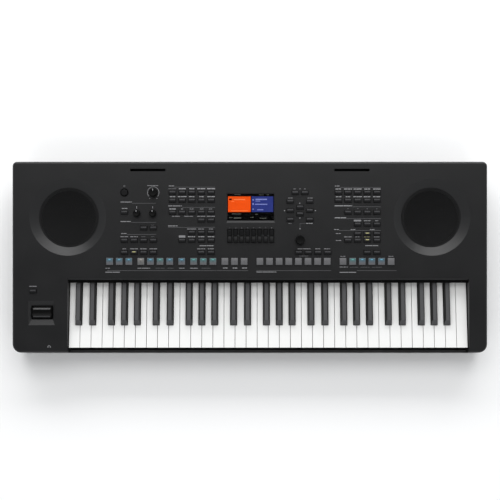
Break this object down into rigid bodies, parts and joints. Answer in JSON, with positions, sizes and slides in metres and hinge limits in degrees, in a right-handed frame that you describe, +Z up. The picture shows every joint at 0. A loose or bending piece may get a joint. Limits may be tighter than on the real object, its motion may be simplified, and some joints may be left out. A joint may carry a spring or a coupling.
{
  "type": "arranger keyboard",
  "caption": "Portable arranger keyboard with a sloping control panel, colour display, built-in speakers, hinged piano-style keys, push buttons, knobs and a pitch wheel.",
  "frame": {"origin": "middle of the footprint, on the surface that the rubber feet stand on", "axes": "+X to the player's right, +Y away from the player, +Z up"},
  "size_m": [1.004, 0.401, 0.1338],
  "materials": {
    "case_plastic": "satin black moulded ABS with a fine grain",
    "white_key_plastic": "glossy ivory white moulding",
    "black_key_plastic": "satin black moulding",
    "button_plastic": "dark grey satin moulding",
    "pad_plastic": "translucent grey moulding, lit from below",
    "knob_plastic": "black knob moulding",
    "grille_metal": "black painted perforated steel",
    "display_glass": "clear acrylic",
    "display_panel": "colour display module",
    "circuit_board": "glass fibre laminate with green resist",
    "steel": "plated steel",
    "magnet_iron": "ferrite magnet and yoke",
    "speaker_paper": "black paper cone",
    "felt": "needle felt",
    "rubber": "black rubber",
    "contact_rubber": "grey silicone rubber",
    "sink_aluminium": "extruded aluminium",
    "socket_plastic": "black socket moulding"
  },
  "bodies": {
    "case": {"lower_case": "case_plastic", "upper_case": "case_plastic", "key_chassis": "socket_plastic", "key_pivot_rod": "steel", "key_felts": "felt", "key_contact_board": "circuit_board", "key_contact_rubber": "contact_rubber", "key_springs": "steel", "rotary_pots": "steel", "rocker_rod": "steel", "display_window": "display_glass", "lcd_module": "display_panel", "wheel_bracket": "socket_plastic", "speaker_grilles": "grille_metal", "speaker_baskets": "grille_metal", "speaker_cones": "speaker_paper", "speaker_magnets": "magnet_iron", "panel_boards": "circuit_board", "switch_mats": "contact_rubber", "circuit_boards": "circuit_board", "heat_sink": "sink_aluminium", "jack_sockets": "socket_plastic", "usb_sockets": "steel", "rubber_feet": "rubber", "case_screws": "steel"},
    "keys_c": {"keys_c": "white_key_plastic"},
    "keys_d": {"keys_d": "white_key_plastic"},
    "keys_e": {"keys_e": "white_key_plastic"},
    "keys_f": {"keys_f": "white_key_plastic"},
    "keys_g": {"keys_g": "white_key_plastic"},
    "keys_a": {"keys_a": "white_key_plastic"},
    "keys_b": {"keys_b": "white_key_plastic"},
    "keys_c_sharp": {"keys_c_sharp": "black_key_plastic"},
    "keys_d_sharp": {"keys_d_sharp": "black_key_plastic"},
    "keys_f_sharp": {"keys_f_sharp": "black_key_plastic"},
    "keys_g_sharp": {"keys_g_sharp": "black_key_plastic"},
    "keys_a_sharp": {"keys_a_sharp": "black_key_plastic"},
    "transpose_buttons": {"transpose_buttons": "button_plastic"},
    "tempo_buttons": {"tempo_buttons": "button_plastic"},
    "style_buttons": {"style_buttons": "button_plastic"},
    "song_buttons": {"song_buttons": "button_plastic"},
    "function_buttons": {"function_buttons": "button_plastic"},
    "page_buttons": {"page_buttons": "button_plastic"},
    "cursor_buttons": {"cursor_buttons": "button_plastic"},
    "bank_buttons": {"bank_buttons": "button_plastic"},
    "voice_buttons": {"voice_buttons": "button_plastic"},
    "part_buttons": {"part_buttons": "button_plastic"},
    "effect_buttons": {"effect_buttons": "button_plastic"},
    "octave_buttons": {"octave_buttons": "button_plastic"},
    "cheek_button": {"cheek_button": "button_plastic"},
    "style_pads": {"style_pads": "pad_plastic"},
    "registration_pads": {"registration_pads": "pad_plastic"},
    "one_touch_pads": {"one_touch_pads": "pad_plastic"},
    "power_button": {"power_button": "button_plastic"},
    "volume_knob": {"volume_knob": "knob_plastic"},
    "live_knob_left": {"live_knob_left": "knob_plastic"},
    "live_knob_right": {"live_knob_right": "knob_plastic"},
    "data_dial": {"data_dial": "knob_plastic"},
    "pitch_wheel": {"pitch_wheel": "knob_plastic"},
    "display_rockers": {"display_rockers": "button_plastic"}
  },
  "joints": [
    {"name": "keys_c_hinge", "type": "hinge", "parent": "case", "child": "keys_c", "pos_m": [0, -0.005, 0.066], "axis": [1, 0, 0], "range_deg": [0, 3.1], "stiffness_Nm_per_rad": 6, "springref_deg": -5.16},
    {"name": "keys_d_hinge", "type": "hinge", "parent": "case", "child": "keys_d", "pos_m": [0, -0.005, 0.066], "axis": [1, 0, 0], "range_deg": [0, 3.1], "stiffness_Nm_per_rad": 6, "springref_deg": -5.16},
    {"name": "keys_e_hinge", "type": "hinge", "parent": "case", "child": "keys_e", "pos_m": [0, -0.005, 0.066], "axis": [1, 0, 0], "range_deg": [0, 3.1], "stiffness_Nm_per_rad": 6, "springref_deg": -5.16},
    {"name": "keys_f_hinge", "type": "hinge", "parent": "case", "child": "keys_f", "pos_m": [0, -0.005, 0.066], "axis": [1, 0, 0], "range_deg": [0, 3.1], "stiffness_Nm_per_rad": 6, "springref_deg": -5.16},
    {"name": "keys_g_hinge", "type": "hinge", "parent": "case", "child": "keys_g", "pos_m": [0, -0.005, 0.066], "axis": [1, 0, 0], "range_deg": [0, 3.1], "stiffness_Nm_per_rad": 6, "springref_deg": -5.16},
    {"name": "keys_a_hinge", "type": "hinge", "parent": "case", "child": "keys_a", "pos_m": [0, -0.005, 0.066], "axis": [1, 0, 0], "range_deg": [0, 3.1], "stiffness_Nm_per_rad": 6, "springref_deg": -5.16},
    {"name": "keys_b_hinge", "type": "hinge", "parent": "case", "child": "keys_b", "pos_m": [0, -0.005, 0.066], "axis": [1, 0, 0], "range_deg": [0, 3.1], "stiffness_Nm_per_rad": 6, "springref_deg": -5.16},
    {"name": "keys_c_sharp_hinge", "type": "hinge", "parent": "case", "child": "keys_c_sharp", "pos_m": [0, -0.005, 0.066], "axis": [1, 0, 0], "range_deg": [0, 3.1], "stiffness_Nm_per_rad": 6, "springref_deg": -5.16},
    {"name": "keys_d_sharp_hinge", "type": "hinge", "parent": "case", "child": "keys_d_sharp", "pos_m": [0, -0.005, 0.066], "axis": [1, 0, 0], "range_deg": [0, 3.1], "stiffness_Nm_per_rad": 6, "springref_deg": -5.16},
    {"name": "keys_f_sharp_hinge", "type": "hinge", "parent": "case", "child": "keys_f_sharp", "pos_m": [0, -0.005, 0.066], "axis": [1, 0, 0], "range_deg": [0, 3.1], "stiffness_Nm_per_rad": 6, "springref_deg": -5.16},
    {"name": "keys_g_sharp_hinge", "type": "hinge", "parent": "case", "child": "keys_g_sharp", "pos_m": [0, -0.005, 0.066], "axis": [1, 0, 0], "range_deg": [0, 3.1], "stiffness_Nm_per_rad": 6, "springref_deg": -5.16},
    {"name": "keys_a_sharp_hinge", "type": "hinge", "parent": "case", "child": "keys_a_sharp", "pos_m": [0, -0.005, 0.066], "axis": [1, 0, 0], "range_deg": [0, 3.1], "stiffness_Nm_per_rad": 6, "springref_deg": -5.16},
    {"name": "transpose_buttons_press", "type": "slide", "parent": "case", "child": "transpose_buttons", "axis": [0, 0.1219, -0.9925], "range_m": [0, 0.001], "stiffness_N_per_m": 1200, "springref_m": -0.0006},
    {"name": "tempo_buttons_press", "type": "slide", "parent": "case", "child": "tempo_buttons", "axis": [0, 0.1219, -0.9925], "range_m": [0, 0.001], "stiffness_N_per_m": 3200, "springref_m": -0.0006},
    {"name": "style_buttons_press", "type": "slide", "parent": "case", "child": "style_buttons", "axis": [0, 0.1219, -0.9925], "range_m": [0, 0.001], "stiffness_N_per_m": 4000, "springref_m": -0.0006},
    {"name": "song_buttons_press", "type": "slide", "parent": "case", "child": "song_buttons", "axis": [0, 0.1219, -0.9925], "range_m": [0, 0.001], "stiffness_N_per_m": 2800, "springref_m": -0.0006},
    {"name": "function_buttons_press", "type": "slide", "parent": "case", "child": "function_buttons", "axis": [0, 0.1219, -0.9925], "range_m": [0, 0.001], "stiffness_N_per_m": 3600, "springref_m": -0.0006},
    {"name": "page_buttons_press", "type": "slide", "parent": "case", "child": "page_buttons", "axis": [0, 0.1219, -0.9925], "range_m": [0, 0.001], "stiffness_N_per_m": 2400, "springref_m": -0.0006},
    {"name": "cursor_buttons_press", "type": "slide", "parent": "case", "child": "cursor_buttons", "axis": [0, 0.1219, -0.9925], "range_m": [0, 0.001], "stiffness_N_per_m": 1600, "springref_m": -0.0006},
    {"name": "bank_buttons_press", "type": "slide", "parent": "case", "child": "bank_buttons", "axis": [0, 0.1219, -0.9925], "range_m": [0, 0.001], "stiffness_N_per_m": 1600, "springref_m": -0.0006},
    {"name": "voice_buttons_press", "type": "slide", "parent": "case", "child": "voice_buttons", "axis": [0, 0.1219, -0.9925], "range_m": [0, 0.001], "stiffness_N_per_m": 4000, "springref_m": -0.0006},
    {"name": "part_buttons_press", "type": "slide", "parent": "case", "child": "part_buttons", "axis": [0, 0.1219, -0.9925], "range_m": [0, 0.001], "stiffness_N_per_m": 2800, "springref_m": -0.0006},
    {"name": "effect_buttons_press", "type": "slide", "parent": "case", "child": "effect_buttons", "axis": [0, 0.1219, -0.9925], "range_m": [0, 0.001], "stiffness_N_per_m": 2800, "springref_m": -0.0006},
    {"name": "octave_buttons_press", "type": "slide", "parent": "case", "child": "octave_buttons", "axis": [0, 0.1219, -0.9925], "range_m": [0, 0.001], "stiffness_N_per_m": 800, "springref_m": -0.0006},
    {"name": "cheek_button_press", "type": "slide", "parent": "case", "child": "cheek_button", "axis": [0, 0.1219, -0.9925], "range_m": [0, 0.001], "stiffness_N_per_m": 400, "springref_m": -0.0006},
    {"name": "style_pads_press", "type": "slide", "parent": "case", "child": "style_pads", "axis": [0, 0.1219, -0.9925], "range_m": [0, 0.001], "stiffness_N_per_m": 5600, "springref_m": -0.0006},
    {"name": "registration_pads_press", "type": "slide", "parent": "case", "child": "registration_pads", "axis": [0, 0.1219, -0.9925], "range_m": [0, 0.001], "stiffness_N_per_m": 3200, "springref_m": -0.0006},
    {"name": "one_touch_pads_press", "type": "slide", "parent": "case", "child": "one_touch_pads", "axis": [0, 0.1219, -0.9925], "range_m": [0, 0.001], "stiffness_N_per_m": 2400, "springref_m": -0.0006},
    {"name": "power_button_press", "type": "slide", "parent": "case", "child": "power_button", "axis": [0, 0.1219, -0.9925], "range_m": [0, 0.001], "stiffness_N_per_m": 400, "springref_m": -0.0006},
    {"name": "volume_knob_turn", "type": "hinge", "parent": "case", "child": "volume_knob", "pos_m": [-0.20395, 0.13499, 0.12046], "axis": [0, -0.1219, 0.9925], "range_deg": [-140, 140]},
    {"name": "live_knob_left_turn", "type": "hinge", "parent": "case", "child": "live_knob_left", "pos_m": [-0.2389, 0.09151, 0.11512], "axis": [0, -0.1219, 0.9925], "range_deg": [-140, 140]},
    {"name": "live_knob_right_turn", "type": "hinge", "parent": "case", "child": "live_knob_right", "pos_m": [-0.2052, 0.09151, 0.11512], "axis": [0, -0.1219, 0.9925], "range_deg": [-140, 140]},
    {"name": "data_dial_turn", "type": "hinge", "parent": "case", "child": "data_dial", "pos_m": [0.1061, 0.03563, 0.10826], "axis": [0, -0.1219, 0.9925], "continuous": true},
    {"name": "pitch_wheel_bend", "type": "hinge", "parent": "case", "child": "pitch_wheel", "pos_m": [-0.4398, -0.11481, 0.07316], "axis": [1, 0, 0], "range_deg": [-25, 25], "stiffness_Nm_per_rad": 0.12},
    {"name": "display_rockers_tilt", "type": "hinge", "parent": "case", "child": "display_rockers", "pos_m": [0.0018, 0.04474, 0.10383], "axis": [1, 0, 0], "range_deg": [-4, 4], "stiffness_Nm_per_rad": 3}
  ]
}
